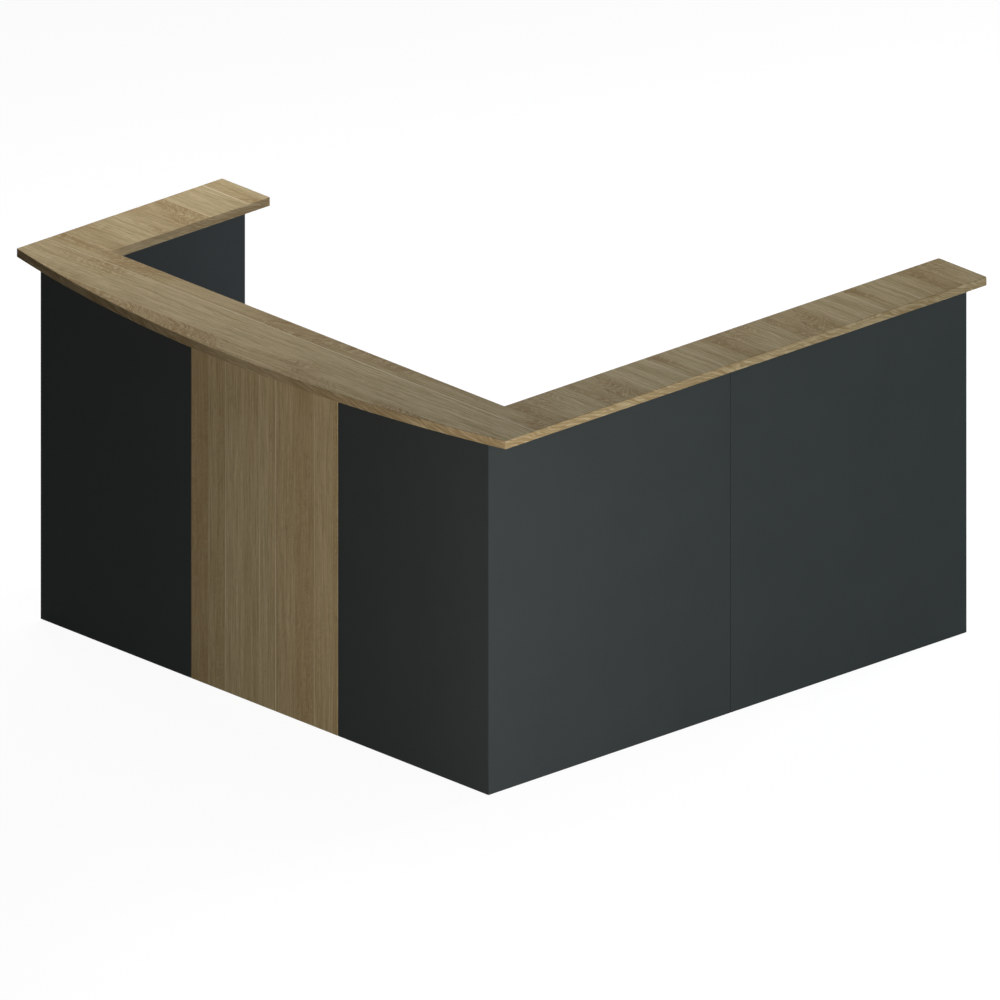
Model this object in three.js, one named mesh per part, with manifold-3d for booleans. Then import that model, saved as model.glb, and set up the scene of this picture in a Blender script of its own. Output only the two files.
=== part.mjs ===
// Reception desk: a U-shaped counter on walls of melamine-faced board, open to the staff side, with a
// worktop at desk height behind it. Millimetres, +Z up; the visitor stands on the -Y side.
import * as THREE from "three";
import { mergeVertices } from "three/addons/utils/BufferGeometryUtils.js";
import Module from "manifold-3d";

// Walls
const CARCASS_WIDTH = 1850; // over the outer faces of the two side walls
const LEFT_WING_DEPTH = 772; // from the front face to the rear end of the left wall
const RIGHT_WING_DEPTH = 1837; // from the front face to the rear end of the right wall
const CENTRE_PANEL_WIDTH = 606; // the oak panel between the two dark front panels
const RIGHT_WALL_JOINT = 930; // from the front face to the joint of the right wall's two boards
const BOARD = 16; // thickness of every wall, gable, rail and cleat
const PANEL_GAP = 1; // between neighbouring boards of one wall
const FLOOR_GAP = 2; // the walls stop this far above the floor
const EASE = 1; // chamfer on an exposed arris
const FIT = 0.3; // clearance between two pieces that meet

// Counter
const COUNTER_HEIGHT = 1100;
const COUNTER_BOARD = 25;
const COUNTER_SIDE_OVERHANG = 85; // past the outer face of a side wall
const COUNTER_FRONT_OVERHANG = 13; // past the front face, at the corners
const COUNTER_BOW = 119; // how much further the front edge reaches at the middle
const COUNTER_LEFT_END_OVERHANG = 5; // past the rear end of the left wall
const COUNTER_FRONT_REAR = 168; // from the front face to the inner edge of the front top
const COUNTER_WING_WIDTH = 200;
const TOP_CORNER = 5; // radius of the tops' corners, which the edging is wrapped round
const EDGING = 2; // thickness of the edging strip
const BOW_STEPS = 48;
const CORNER_STEPS = 4;

// Worktop
const WORKTOP_HEIGHT = 750;
const WORKTOP_BOARD = 25;
const WORKTOP_DEPTH = 700;
const RETURN_WIDTH = 600; // the worktop along the right wing
const WORKTOP_OVERHANG = 45; // past the gables that carry it

// Gables, rails and cleats
const GABLE_NECK = 136; // depth of the front gables above the worktop
const RETURN_GABLE_NECK = 80; // depth of the right wing's gables above the worktop
const RAIL_HEIGHT = 100;
const CLEAT_HEIGHT = 48;
const CLEAT_SETBACK = 30; // from the ends of what the cleat carries

// Counter brackets
const BRACKET_DROP = 50;
const BRACKET_REACH = 78;
const BRACKET_WIDTH = 32;
const BRACKET_GAUGE = 3;
const BRACKET_END_DISTANCE = 130; // from a wall's end or a gable to the bracket's middle
const GUSSET = 30; // legs of the triangular web

// Joint plates
const PLATE_LENGTH = 120;
const PLATE_WIDTH = 40;
const PLATE_GAUGE = 3;
const SCREW_HOLE = 5.5; // diameter
const HOLE_MARGIN = 14; // from a screw hole to the end of its plate or leg

// Levellers
const LEVELLER_RISE = 46;
const LEVELLER_REACH = 36;
const LEVELLER_WIDTH = 36;
const LEVELLER_GAUGE = 2.5;
const LEVELLER_SHELF = 30; // height of the bracket's underside above the floor
const LEVELLER_STANDOFF = 20; // from the wall to the stud's axis
const LEVELLER_INSET = 62; // from the end of the wall or gable to the stud's axis
const STUD_DIAMETER = 8;
const STUD_TOP = 66;
const PAD_DIAMETER = 32;
const PAD_HEIGHT = 8;
const NUT_ACROSS_CORNERS = 15;
const NUT_HEIGHT = 6.5;

// Cable grommets
const GROMMET_HOLE = 60; // diameter of the liner's tube
const GROMMET_WALL = 2.5;
const GROMMET_DEPTH = 22;
const GROMMET_FLANGE = 4; // how far the flange covers the worktop
const GROMMET_FLANGE_HEIGHT = 2.2;
const GROMMET_LEDGE = 2; // ring that the cap rests on
const GROMMET_CAP = 2.6;
const GROMMET_SLOT_WIDTH = 18;
const GROMMET_SLOT_CENTRE = 19; // from the cap's middle to the centre of the slot's round end
const GROMMET_FROM_WALL = 95; // from the inner face of the wall to the grommet's middle

// Planes that several pieces share
const halfCarcass = CARCASS_WIDTH / 2;
const innerWall = halfCarcass - BOARD;
const behindFront = BOARD + FIT;
const besideWall = innerWall - FIT;
const counterUnderside = COUNTER_HEIGHT - COUNTER_BOARD;
const wallTop = counterUnderside - FIT;
const worktopUnderside = WORKTOP_HEIGHT - WORKTOP_BOARD;
const supportTop = worktopUnderside - FIT;
const worktopRear = behindFront + WORKTOP_DEPTH;
const returnInner = besideWall - RETURN_WIDTH;
const gableX = CENTRE_PANEL_WIDTH / 2;
const gableRear = worktopRear - WORKTOP_OVERHANG;
const returnGableInner = returnInner + WORKTOP_OVERHANG;
const endGableFace = RIGHT_WING_DEPTH - BOARD;

const finish = (color, roughness, metalness = 0) =>
  new THREE.MeshStandardMaterial({ color, roughness, metalness });
const anthracite = finish(0x3e4446, 0.55);
const oak = finish(0xa08d68, 0.5);
const oakEdging = finish(0xa89470, 0.5);
const zincPlate = finish(0xb9bcbe, 0.35, 1);
const blackPlastic = finish(0x1d1e1f, 0.5);

const wasm = await Module();
wasm.setup();

// A closed geometry as a solid that can be joined and cut.
function solid(geometry) {
  const bare = geometry.clone();
  bare.deleteAttribute("normal");
  bare.deleteAttribute("uv");
  const merged = mergeVertices(bare);
  return new wasm.Manifold(
    new wasm.Mesh({
      numProp: 3,
      vertProperties: merged.attributes.position.array,
      triVerts: new Uint32Array(merged.index.array),
    }),
  );
}

function geometryOf(body) {
  const { vertProperties, triVerts } = body.getMesh();
  const geometry = new THREE.BufferGeometry();
  geometry.setAttribute("position", new THREE.BufferAttribute(vertProperties, 3));
  geometry.setIndex(new THREE.BufferAttribute(triVerts, 1));
  geometry.computeVertexNormals();
  return geometry;
}

function piece(name, geometry, material) {
  const mesh = new THREE.Mesh(geometry, material);
  mesh.name = name;
  return mesh;
}

const shapeOf = (points) => new THREE.Shape(points.map(([x, y]) => new THREE.Vector2(x, y)));

const rectangle = (x0, y0, x1, y1) => [
  [x0, y0],
  [x1, y0],
  [x1, y1],
  [x0, y1],
];

// Cuts every corner of an outline back by the same distance along both of its edges.
function easedCorners(points, distance) {
  const corner = (i) => new THREE.Vector2(...points[(i + points.length) % points.length]);
  return points.flatMap((_, i) => {
    const here = corner(i);
    const toward = (j) => here.clone().add(corner(j).sub(here).setLength(distance)).toArray();
    return [toward(i - 1), toward(i + 1)];
  });
}

// A board whose two faces have eased arrises all round, holes included.
function easedBoard(shape, thickness) {
  const geometry = new THREE.ExtrudeGeometry(shape, {
    depth: thickness - 2 * EASE,
    bevelThickness: EASE,
    bevelSize: EASE,
    bevelOffset: -EASE,
    bevelSegments: 1,
  });
  return geometry.translate(0, 0, EASE);
}

// Top lying flat, drawn in plan, with bare edges and its underside at the given height.
function lying(name, shape, thickness, underside) {
  const geometry = new THREE.ExtrudeGeometry(shape, { depth: thickness, bevelEnabled: false });
  const mesh = piece(name, geometry, oak);
  mesh.position.z = underside;
  return mesh;
}

// Board parallel to the front, drawn in X and Z, with its front side at the given depth.
function facing(name, shape, front, material) {
  const mesh = piece(name, easedBoard(shape, BOARD), material);
  mesh.position.y = front + BOARD;
  mesh.rotation.x = Math.PI / 2;
  return mesh;
}

// Board square to the front, drawn in Y and Z, with its left side at the given X.
function standing(name, shape, left, material) {
  const mesh = piece(name, easedBoard(shape, BOARD), material);
  mesh.position.x = left;
  mesh.rotation.set(Math.PI / 2, 0, Math.PI / 2, "ZYX");
  return mesh;
}

// Walls: boards on edge, drawn in plan, with eased upright arrises.
function wallBoard(name, outline, material) {
  const geometry = new THREE.ExtrudeGeometry(shapeOf(easedCorners(outline, EASE)), {
    depth: wallTop - FLOOR_GAP,
    bevelEnabled: false,
  });
  const mesh = piece(name, geometry, material);
  mesh.position.z = FLOOR_GAP;
  return mesh;
}

// The front boards and the side boards meet in mitres, so neither face shows a joint at the corner.
function walls() {
  const group = new THREE.Group();
  const mitreShift = FIT / Math.SQRT2;
  const darkStart = gableX + PANEL_GAP / 2;
  const frontPanel = (side) => [
    [side * darkStart, 0],
    [side * (halfCarcass - mitreShift), 0],
    [side * (innerWall - mitreShift), BOARD],
    [side * darkStart, BOARD],
  ];
  const sidePanel = (side, rear) => [
    [side * halfCarcass, mitreShift],
    [side * halfCarcass, rear],
    [side * innerWall, rear],
    [side * innerWall, BOARD + mitreShift],
  ];
  const centreHalf = gableX - PANEL_GAP / 2;
  const rearStart = RIGHT_WALL_JOINT + PANEL_GAP / 2;
  const rearPanel = rectangle(innerWall, rearStart, halfCarcass, RIGHT_WING_DEPTH);
  group.add(
    wallBoard("front_panel_left", frontPanel(-1), anthracite),
    wallBoard("front_panel_centre", rectangle(-centreHalf, 0, centreHalf, BOARD), oak),
    wallBoard("front_panel_right", frontPanel(1), anthracite),
    wallBoard("left_side_panel", sidePanel(-1, LEFT_WING_DEPTH), anthracite),
    wallBoard("right_side_panel_front", sidePanel(1, RIGHT_WALL_JOINT - PANEL_GAP / 2), anthracite),
    wallBoard("right_side_panel_rear", rearPanel, anthracite),
  );
  return group;
}

// Points of an arc, ends included.
const arc = (x, y, radius, from, to, steps) =>
  Array.from({ length: steps + 1 }, (_, i) => {
    const angle = from + ((to - from) * i) / steps;
    return [x + radius * Math.cos(angle), y + radius * Math.sin(angle)];
  });

// Counter: three tops of 25 mm board. The free edges carry a strip of edging, wrapped round the corners.
const counterHalf = halfCarcass + COUNTER_SIDE_OVERHANG;
const bowRadius = (counterHalf ** 2 + COUNTER_BOW ** 2) / (2 * COUNTER_BOW);
const bowCentreY = bowRadius - COUNTER_BOW - COUNTER_FRONT_OVERHANG;
const cornerX = counterHalf - TOP_CORNER;
const cornerY = bowCentreY - Math.sqrt((bowRadius - TOP_CORNER) ** 2 - cornerX ** 2);
const bowEnd = Math.atan2(cornerY - bowCentreY, cornerX);
const wingInner = counterHalf - COUNTER_WING_WIDTH;
const edgedInset = EDGING + FIT; // from the finished edge in to the bare board
const frontTopRear = COUNTER_FRONT_REAR - edgedInset;
const wingTopFront = COUNTER_FRONT_REAR - EDGING;

// The front top's free edge from its right end round the bow to its left end, taken in by an inset.
function bowedEdge(inset) {
  const corner = TOP_CORNER - inset;
  const left = -Math.PI - bowEnd;
  return [
    [counterHalf - inset, frontTopRear],
    ...arc(cornerX, cornerY, corner, 0, bowEnd, CORNER_STEPS),
    ...arc(0, bowCentreY, bowRadius - inset, bowEnd, left, BOW_STEPS).slice(1, -1),
    ...arc(-cornerX, cornerY, corner, left, -Math.PI, CORNER_STEPS),
    [inset - counterHalf, frontTopRear],
  ];
}

// A wing top's free edge: along the outside, round the rear end and back along the inside.
function wingEdge(side, rear, inset) {
  const corner = TOP_CORNER - inset;
  const outer = counterHalf - inset;
  const inner = wingInner + inset;
  const centreY = rear - TOP_CORNER;
  const right = [
    [outer, wingTopFront],
    ...arc(counterHalf - TOP_CORNER, centreY, corner, 0, Math.PI / 2, CORNER_STEPS),
    ...arc(wingInner + TOP_CORNER, centreY, corner, Math.PI / 2, Math.PI, CORNER_STEPS),
    [inner, wingTopFront],
  ];
  return right.map(([x, y]) => [side * x, y]);
}

function rearEdge(inset) {
  const end = wingInner - FIT;
  const y = COUNTER_FRONT_REAR - inset;
  return [
    [-end, y],
    [end, y],
  ];
}

// A strip of edging: its section, eased on the outside, carried along a free edge and closed at both ends.
function edging(name, edgeAt, thickness, underside) {
  const section = [
    [EDGING, 0],
    [EASE, 0],
    [0, EASE],
    [0, thickness - EASE],
    [EASE, thickness],
    [EDGING, thickness],
  ];
  const lines = section.map(([inset, z]) => edgeAt(inset).map(([x, y]) => [x, y, z]));
  const last = lines[0].length - 1;
  const triangles = [];
  const quad = (a, b, c, d) => triangles.push(a, b, c, a, c, d);
  lines.forEach((line, k) => {
    const next = lines[(k + 1) % lines.length];
    for (let i = 0; i < last; i++) quad(line[i], next[i], next[i + 1], line[i + 1]);
  });
  for (let k = 1; k < lines.length - 1; k++) {
    triangles.push(lines[0][0], lines[k + 1][0], lines[k][0]);
    triangles.push(lines[0][last], lines[k][last], lines[k + 1][last]);
  }
  const geometry = new THREE.BufferGeometry();
  geometry.setAttribute("position", new THREE.Float32BufferAttribute(triangles.flat(), 3));
  const mesh = piece(name, outward(geometry), oakEdging);
  mesh.position.z = underside;
  return mesh;
}

// Turns the faces of a closed triangle list round if they point inwards.
function outward(geometry) {
  const position = geometry.getAttribute("position");
  const corner = [0, 1, 2].map(() => new THREE.Vector3());
  let volume = 0;
  for (let i = 0; i < position.count; i += 3) {
    corner.forEach((v, k) => v.fromBufferAttribute(position, i + k));
    volume += corner[0].dot(corner[1].cross(corner[2]));
  }
  if (volume < 0) {
    for (let i = 0; i < position.count; i += 3) {
      const [b, c] = [1, 2].map((k) => new THREE.Vector3().fromBufferAttribute(position, i + k));
      position.setXYZ(i + 1, ...c.toArray());
      position.setXYZ(i + 2, ...b.toArray());
    }
  }
  geometry.computeVertexNormals();
  return geometry;
}

function counter() {
  const group = new THREE.Group();
  const leftEdge = (inset) => wingEdge(-1, LEFT_WING_DEPTH + COUNTER_LEFT_END_OVERHANG, inset);
  const rightEdge = (inset) => wingEdge(1, RIGHT_WING_DEPTH, inset);
  const top = (name, edge) => lying(name, shapeOf(edge(edgedInset)), COUNTER_BOARD, counterUnderside);
  const strip = (name, edge) => edging(name, edge, COUNTER_BOARD, counterUnderside);
  group.add(
    top("counter_top_front", bowedEdge),
    top("counter_top_left", leftEdge),
    top("counter_top_right", rightEdge),
    strip("counter_edging_front", bowedEdge),
    strip("counter_edging_front_inner", rearEdge),
    strip("counter_edging_left", leftEdge),
    strip("counter_edging_right", rightEdge),
  );
  return group;
}

// Gables: stepped boards that carry the worktop on their lower part and the counter on their neck.
function gables() {
  const group = new THREE.Group();
  const stepped = (wallEnd, inward, neck, depthEnd) => {
    const neckEnd = wallEnd + inward * neck;
    return shapeOf([
      [wallEnd, FLOOR_GAP],
      [depthEnd, FLOOR_GAP],
      [depthEnd, supportTop],
      [neckEnd, supportTop],
      [neckEnd, wallTop],
      [wallEnd, wallTop],
    ]);
  };
  const front = () => stepped(behindFront, 1, GABLE_NECK, gableRear);
  const back = () => stepped(besideWall, -1, RETURN_GABLE_NECK, returnGableInner);
  group.add(
    standing("front_gable_left", front(), -gableX - BOARD / 2, anthracite),
    standing("front_gable_right", front(), gableX - BOARD / 2, anthracite),
    facing("return_gable_middle", back(), RIGHT_WALL_JOINT - BOARD / 2, anthracite),
    facing("return_gable_end", back(), endGableFace, anthracite),
  );
  return group;
}

// Rails tie the front walls, gables and counter together; cleats carry the worktop along the side walls.
function railsAndCleats() {
  const group = new THREE.Group();
  const bay = gableX + BOARD / 2 + FIT;
  const rail = (x0, x1) => shapeOf(rectangle(x0, wallTop - RAIL_HEIGHT, x1, wallTop));
  const cleat = (rear) =>
    shapeOf(
      rectangle(behindFront + CLEAT_SETBACK, supportTop - CLEAT_HEIGHT, rear, supportTop),
    );
  const leftCleatRear = Math.min(worktopRear, LEFT_WING_DEPTH) - CLEAT_SETBACK;
  const rightCleatRear = RIGHT_WALL_JOINT - BOARD / 2 - FIT;
  group.add(
    facing("front_rail_left", rail(-besideWall, -bay), behindFront, anthracite),
    facing("front_rail_centre", rail(BOARD + FIT - bay, bay - BOARD - FIT), behindFront, anthracite),
    facing("front_rail_right", rail(bay, besideWall), behindFront, anthracite),
    standing("worktop_cleat_left", cleat(leftCleatRear), -besideWall, anthracite),
    standing("worktop_cleat_right", cleat(rightCleatRear), besideWall - BOARD, anthracite),
  );
  return group;
}

const roundHole = (x, y, radius) => new THREE.Path().absarc(x, y, radius, 0, 2 * Math.PI);

const grommets = {
  front: [0, behindFront + GROMMET_FROM_WALL],
  return: [besideWall - GROMMET_FROM_WALL, (RIGHT_WALL_JOINT + RIGHT_WING_DEPTH) / 2],
};

// Worktops, notched round the gables' necks, bored for the cable grommets and edged where they are free.
const notchHalf = BOARD / 2 + FIT;
const neckSide = besideWall - RETURN_GABLE_NECK - FIT;
const returnFront = worktopRear - EDGING;

function worktopEdge(inset) {
  const y = worktopRear - inset;
  return [
    [-besideWall, y],
    [returnInner - FIT, y],
  ];
}

// The return's free edge, along the inside and round the rear corner to the end gable's neck.
function returnEdge(inset) {
  const cornerX = returnInner + TOP_CORNER;
  const cornerY = RIGHT_WING_DEPTH - TOP_CORNER;
  return [
    [returnInner + inset, returnFront],
    ...arc(cornerX, cornerY, TOP_CORNER - inset, Math.PI, Math.PI / 2, CORNER_STEPS),
    [neckSide, RIGHT_WING_DEPTH - inset],
  ];
}

function worktops() {
  const group = new THREE.Group();
  const notchRear = behindFront + GABLE_NECK + FIT;
  const notch = (x) => [
    [x - notchHalf, behindFront],
    [x - notchHalf, notchRear],
    [x + notchHalf, notchRear],
    [x + notchHalf, behindFront],
  ];
  const front = shapeOf([
    [-besideWall, behindFront],
    ...notch(-gableX),
    ...notch(gableX),
    [besideWall, behindFront],
    [besideWall, worktopRear - edgedInset],
    [-besideWall, worktopRear - edgedInset],
  ]);
  const back = shapeOf([
    ...returnEdge(edgedInset),
    [neckSide, endGableFace - FIT],
    [besideWall, endGableFace - FIT],
    [besideWall, RIGHT_WALL_JOINT + notchHalf],
    [neckSide, RIGHT_WALL_JOINT + notchHalf],
    [neckSide, RIGHT_WALL_JOINT - notchHalf],
    [besideWall, RIGHT_WALL_JOINT - notchHalf],
    [besideWall, returnFront],
  ]);
  front.holes.push(roundHole(...grommets.front, GROMMET_HOLE / 2 + FIT));
  back.holes.push(roundHole(...grommets.return, GROMMET_HOLE / 2 + FIT));
  group.add(
    lying("worktop_front", front, WORKTOP_BOARD, worktopUnderside),
    lying("worktop_return", back, WORKTOP_BOARD, worktopUnderside),
    edging("worktop_edging_front", worktopEdge, WORKTOP_BOARD, worktopUnderside),
    edging("worktop_edging_return", returnEdge, WORKTOP_BOARD, worktopUnderside),
  );
  return group;
}

// Grommets: a flanged liner dropped into the worktop, and a cap with a cable slot that turns in it.
function grommetParts(name, [x, y]) {
  const group = new THREE.Group();
  const tube = GROMMET_HOLE / 2;
  const bore = tube - GROMMET_WALL;
  const ledgeTop = GROMMET_FLANGE_HEIGHT - GROMMET_CAP - FIT;
  const ledgeUnder = ledgeTop - GROMMET_LEDGE;
  const profile = [
    [bore, -GROMMET_DEPTH],
    [tube, -GROMMET_DEPTH],
    [tube, FIT],
    [tube + GROMMET_FLANGE, FIT],
    [tube + GROMMET_FLANGE, GROMMET_FLANGE_HEIGHT - EASE],
    [tube + GROMMET_FLANGE - EASE, GROMMET_FLANGE_HEIGHT],
    [bore, GROMMET_FLANGE_HEIGHT],
    [bore, ledgeTop],
    [bore - GROMMET_LEDGE, ledgeTop],
    [bore - GROMMET_LEDGE, ledgeUnder],
    [bore, ledgeUnder - GROMMET_LEDGE],
    [bore, -GROMMET_DEPTH],
  ].map(([r, z]) => new THREE.Vector2(r, z));
  const liner = new THREE.LatheGeometry(profile, 32).rotateX(Math.PI / 2);

  const capRadius = bore - FIT;
  const slotHalf = GROMMET_SLOT_WIDTH / 2;
  const slotMouth = Math.acos(slotHalf / capRadius);
  const cap = new THREE.Shape()
    .absarc(0, 0, capRadius, Math.PI - slotMouth, 2 * Math.PI + slotMouth)
    .absarc(0, GROMMET_SLOT_CENTRE, slotHalf, 2 * Math.PI, Math.PI, true);
  const capOptions = { depth: GROMMET_CAP, bevelEnabled: false };
  const capMesh = piece(
    `grommet_cap_${name}`,
    new THREE.ExtrudeGeometry(cap, capOptions),
    blackPlastic,
  );
  capMesh.position.z = ledgeTop + FIT;
  group.add(piece(`grommet_liner_${name}`, liner, blackPlastic), capMesh);
  group.position.set(x, y, WORKTOP_HEIGHT);
  return group;
}

// A pressed angle with its bend at the origin: one leg out along +X, the other up along +Z, width along Y.
function pressedAngle(rise, reach, width, gauge) {
  const bend = 2 * gauge;
  const profile = new THREE.Shape()
    .moveTo(reach, 0)
    .lineTo(reach, gauge)
    .absarc(bend, bend, bend - gauge, -Math.PI / 2, -Math.PI, true)
    .lineTo(gauge, rise)
    .lineTo(0, rise)
    .absarc(bend, bend, bend, Math.PI, 1.5 * Math.PI);
  const options = { depth: width, bevelEnabled: false, curveSegments: 3 };
  const geometry = new THREE.ExtrudeGeometry(profile, options);
  return solid(geometry.rotateX(Math.PI / 2).translate(0, width / 2, 0));
}

// A drill for a plate of the given gauge, standing along Z on the plate's underside.
function drill(diameter, gauge) {
  const length = 3 * gauge;
  const bit = new THREE.CylinderGeometry(diameter / 2, diameter / 2, length, 16);
  return bit.rotateX(Math.PI / 2).translate(0, 0, gauge / 2);
}

// Counter bracket: a pressed angle with a triangular web and one screw hole in each leg.
function counterBracket() {
  const web = new THREE.ExtrudeGeometry(
    shapeOf([
      [BRACKET_GAUGE / 2, BRACKET_GAUGE / 2],
      [GUSSET, BRACKET_GAUGE / 2],
      [BRACKET_GAUGE / 2, GUSSET],
    ]),
    { depth: BRACKET_GAUGE, bevelEnabled: false },
  );
  web.rotateX(Math.PI / 2).translate(0, BRACKET_GAUGE / 2, 0);
  const shelfHole = drill(SCREW_HOLE, BRACKET_GAUGE).translate(BRACKET_REACH - HOLE_MARGIN, 0, 0);
  const wallHole = drill(SCREW_HOLE, BRACKET_GAUGE)
    .rotateY(Math.PI / 2)
    .translate(0, 0, BRACKET_DROP - HOLE_MARGIN);
  const body = pressedAngle(BRACKET_DROP, BRACKET_REACH, BRACKET_WIDTH, BRACKET_GAUGE)
    .add(solid(web))
    .subtract(solid(shelfHole))
    .subtract(solid(wallHole));
  return geometryOf(body);
}

// The brackets hang upside down: one leg against the wall, the other under the counter.
function counterBrackets() {
  const group = new THREE.Group();
  const geometry = counterBracket();
  const place = (name, side, y) => {
    const mesh = piece(`counter_bracket_${name}`, geometry, zincPlate);
    mesh.position.set(side * besideWall, y, wallTop);
    mesh.rotation.set(Math.PI, 0, side > 0 ? Math.PI : 0, "ZYX");
    group.add(mesh);
  };
  const middleFace = BOARD / 2 + BRACKET_END_DISTANCE;
  place("left_front", -1, COUNTER_FRONT_REAR + BRACKET_END_DISTANCE);
  place("left_rear", -1, LEFT_WING_DEPTH - BRACKET_END_DISTANCE);
  place("right_front", 1, COUNTER_FRONT_REAR + BRACKET_END_DISTANCE);
  place("right_middle_front", 1, RIGHT_WALL_JOINT - middleFace);
  place("right_middle_rear", 1, RIGHT_WALL_JOINT + middleFace);
  place("right_rear", 1, endGableFace - BRACKET_END_DISTANCE);
  return group;
}

// Flat plates screwed under the joints between tops, drawn along Y with round ends and four holes.
function jointPlate() {
  const end = PLATE_LENGTH / 2 - PLATE_WIDTH / 2;
  const outline = new THREE.Shape()
    .absarc(0, end, PLATE_WIDTH / 2, 0, Math.PI)
    .absarc(0, -end, PLATE_WIDTH / 2, Math.PI, 2 * Math.PI);
  for (const side of [-1, 1]) {
    outline.holes.push(roundHole(0, side * (PLATE_LENGTH / 2 - HOLE_MARGIN), SCREW_HOLE / 2));
    outline.holes.push(roundHole(0, side * HOLE_MARGIN, SCREW_HOLE / 2));
  }
  const options = { depth: PLATE_GAUGE, bevelEnabled: false, curveSegments: 6 };
  return new THREE.ExtrudeGeometry(outline, options);
}

function jointPlates() {
  const group = new THREE.Group();
  const geometry = jointPlate();
  const place = (name, x, y, top) => {
    const mesh = piece(name, geometry, zincPlate);
    mesh.position.set(x, y, top - FIT - PLATE_GAUGE);
    group.add(mesh);
  };
  const underWing = (wingInner + innerWall) / 2;
  const counterJoint = wingTopFront - FIT / 2;
  const underReturn = (returnInner + besideWall) / 2;
  place("counter_joint_plate_left", -underWing, counterJoint, counterUnderside);
  place("counter_joint_plate_right", underWing, counterJoint, counterUnderside);
  place("worktop_joint_plate", underReturn, returnFront - FIT / 2, worktopUnderside);
  return group;
}

// Levellers: a pressed angle on the wall, and a foot with a stud and nut that screws up and down in it.
function levellerBracket() {
  const studHole = drill(STUD_DIAMETER + 2 * FIT, LEVELLER_GAUGE).translate(LEVELLER_STANDOFF, 0, 0);
  const wallHole = drill(SCREW_HOLE, LEVELLER_GAUGE)
    .rotateY(Math.PI / 2)
    .translate(0, 0, LEVELLER_RISE - HOLE_MARGIN);
  const body = pressedAngle(LEVELLER_RISE, LEVELLER_REACH, LEVELLER_WIDTH, LEVELLER_GAUGE)
    .subtract(solid(studHole))
    .subtract(solid(wallHole));
  return geometryOf(body);
}

function levellerFoot() {
  const pad = PAD_DIAMETER / 2;
  const stud = STUD_DIAMETER / 2;
  const shoulder = PAD_HEIGHT / 3;
  const profile = [
    [0, 0],
    [pad - EASE, 0],
    [pad, EASE],
    [pad, PAD_HEIGHT - shoulder],
    [pad - shoulder, PAD_HEIGHT],
    [stud, PAD_HEIGHT],
    [stud, STUD_TOP - EASE],
    [stud - EASE, STUD_TOP],
    [0, STUD_TOP],
  ].map(([r, z]) => new THREE.Vector2(r, z));
  const turned = new THREE.LatheGeometry(profile, 24).rotateX(Math.PI / 2);
  const nut = new THREE.CylinderGeometry(NUT_ACROSS_CORNERS / 2, NUT_ACROSS_CORNERS / 2, NUT_HEIGHT, 6);
  nut.rotateX(Math.PI / 2).translate(0, 0, LEVELLER_SHELF - FIT - NUT_HEIGHT / 2);
  return geometryOf(solid(turned).add(solid(nut)));
}

function levellers() {
  const group = new THREE.Group();
  const bracket = levellerBracket();
  const foot = levellerFoot();
  // Each stands on the wall at x, y and looks along the given turn from +X.
  const place = (name, x, y, turn) => {
    const pair = new THREE.Group();
    const bracketMesh = piece(`leveller_bracket_${name}`, bracket, zincPlate);
    bracketMesh.position.set(FIT, 0, LEVELLER_SHELF);
    const footMesh = piece(`leveller_foot_${name}`, foot, blackPlastic);
    footMesh.position.x = FIT + LEVELLER_STANDOFF;
    pair.add(bracketMesh, footMesh);
    pair.position.set(x, y, 0);
    pair.rotation.z = turn;
    group.add(pair);
  };
  const nearFront = behindFront + LEVELLER_INSET;
  const gableFace = gableX + BOARD / 2;
  const returnEnd = returnGableInner + LEVELLER_INSET;
  place("left_front", -innerWall, nearFront, 0);
  place("left_rear", -innerWall, LEFT_WING_DEPTH - LEVELLER_INSET, 0);
  place("gable_left", -gableFace, gableRear - LEVELLER_INSET, Math.PI);
  place("gable_right", gableFace, gableRear - LEVELLER_INSET, 0);
  place("right_front", innerWall, nearFront, Math.PI);
  place("right_rear", innerWall, endGableFace - LEVELLER_INSET, Math.PI);
  place("return_middle", returnEnd, RIGHT_WALL_JOINT - BOARD / 2, -Math.PI / 2);
  place("return_end", returnEnd, endGableFace, -Math.PI / 2);
  return group;
}

// The origin is on the floor under the middle of the whole desk.
const desk = new THREE.Group();
const frontmost = -COUNTER_FRONT_OVERHANG - COUNTER_BOW;
desk.position.y = -(frontmost + RIGHT_WING_DEPTH) / 2;
desk.add(walls(), counter(), gables(), railsAndCleats(), worktops());
for (const [name, place] of Object.entries(grommets)) desk.add(grommetParts(name, place));
desk.add(counterBrackets(), jointPlates(), levellers());

export default desk;
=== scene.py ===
import math

import bmesh
import bpy
from mathutils import Matrix, Vector


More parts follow.
